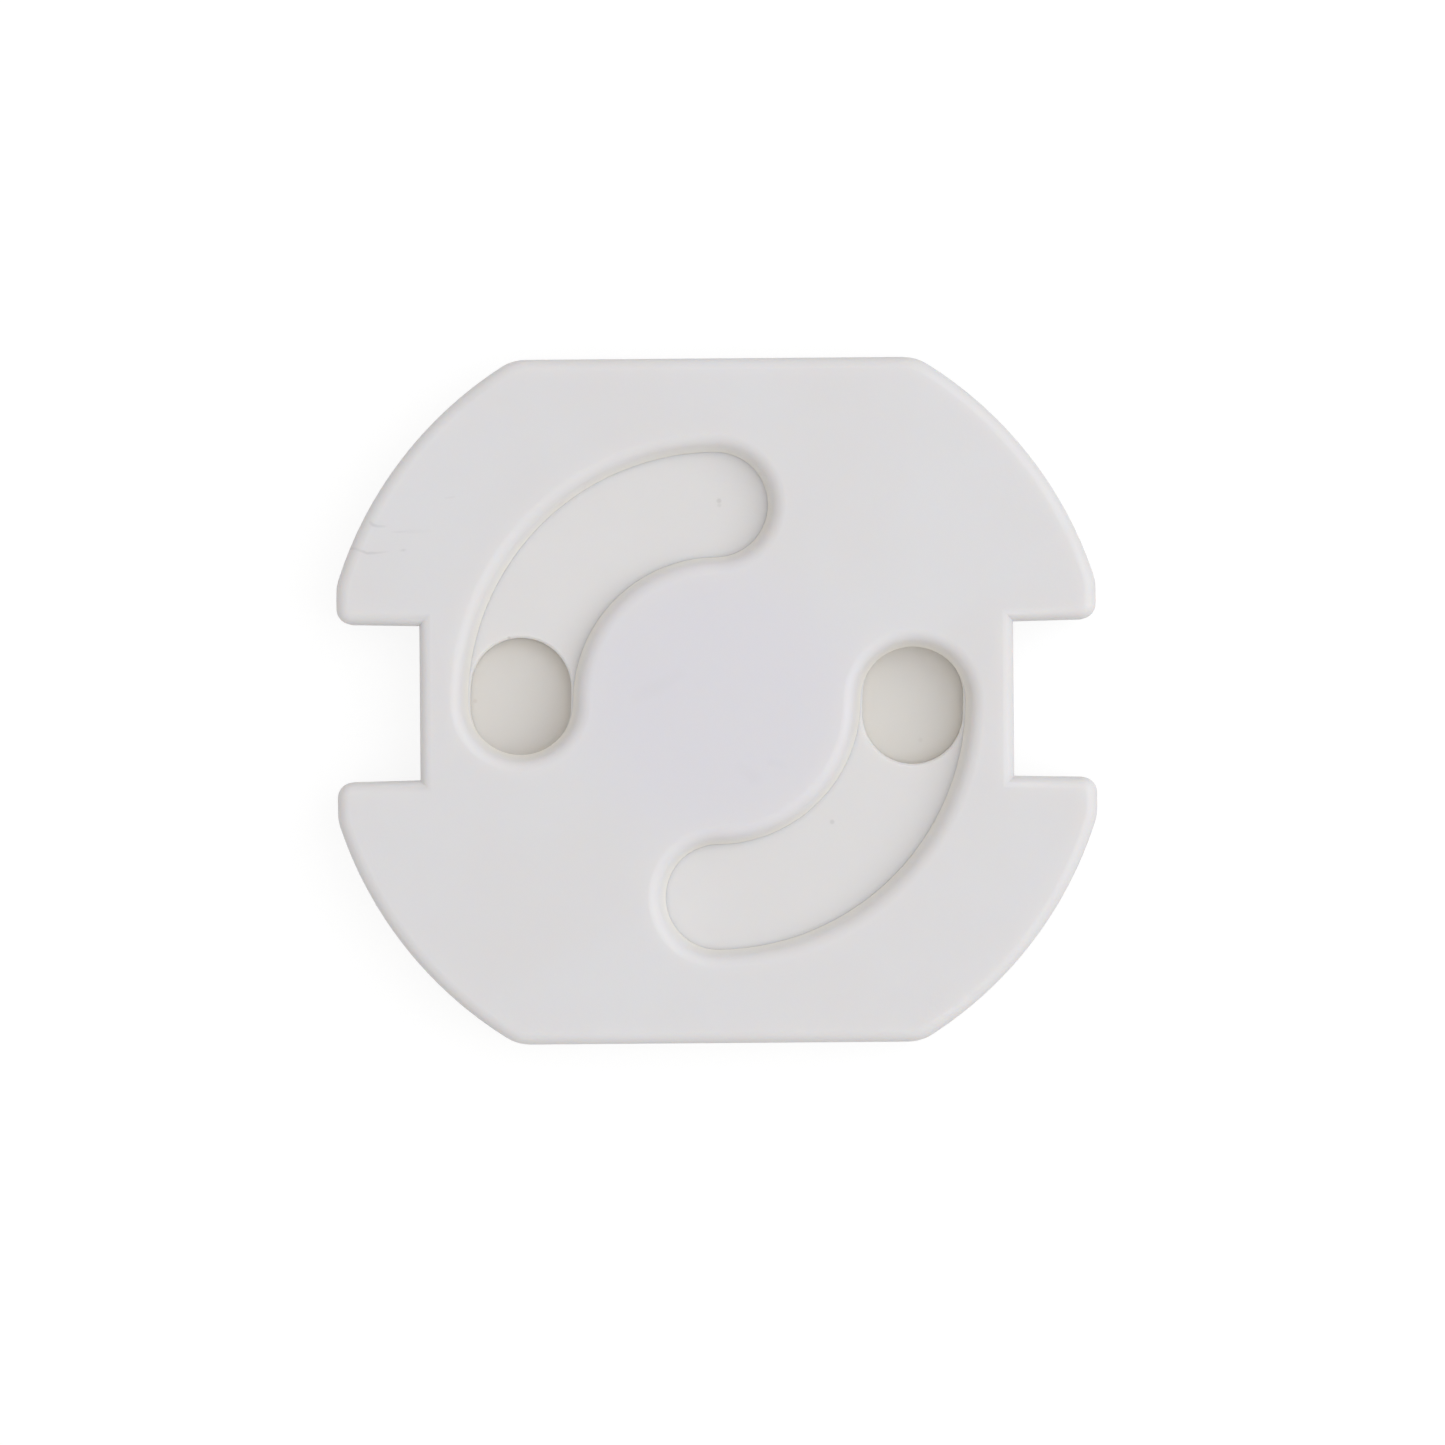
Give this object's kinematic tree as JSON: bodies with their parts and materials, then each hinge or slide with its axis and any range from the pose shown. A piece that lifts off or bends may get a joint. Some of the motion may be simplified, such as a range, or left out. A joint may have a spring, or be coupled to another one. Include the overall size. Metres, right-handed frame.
{
  "type": "outlet safety cover",
  "caption": "Child-safe cover for a round earthed wall socket: slotted front, turning disc with pin holes, back plate and adhesive pad.",
  "frame": {"origin": "on the rotor's axis, at the back face of the adhesive pad, which is the middle of the object's underside", "axes": "+Z out of the wall through the front face, +X through the two earth clip notches, +Y over the socket's contacts"},
  "size_m": [0.0366, 0.0332, 0.0046],
  "materials": {
    "cover_white": "fine matte moulded, faint scratches",
    "rotor_white": "smooth moulded",
    "plate_white": "smooth moulded",
    "foam_tape": "closed-cell foam with a glossy adhesive face"
  },
  "bodies": {
    "housing": {"front_cover": "cover_white", "back_plate": "plate_white", "adhesive_pad": "foam_tape"},
    "rotor": {"rotor": "rotor_white"}
  },
  "joints": [
    {"name": "rotor_turn", "type": "hinge", "parent": "housing", "child": "rotor", "pos_m": [0, 0, 0.00255], "axis": [0, 0, 1], "range_deg": [-88.6, 1.4]}
  ]
}
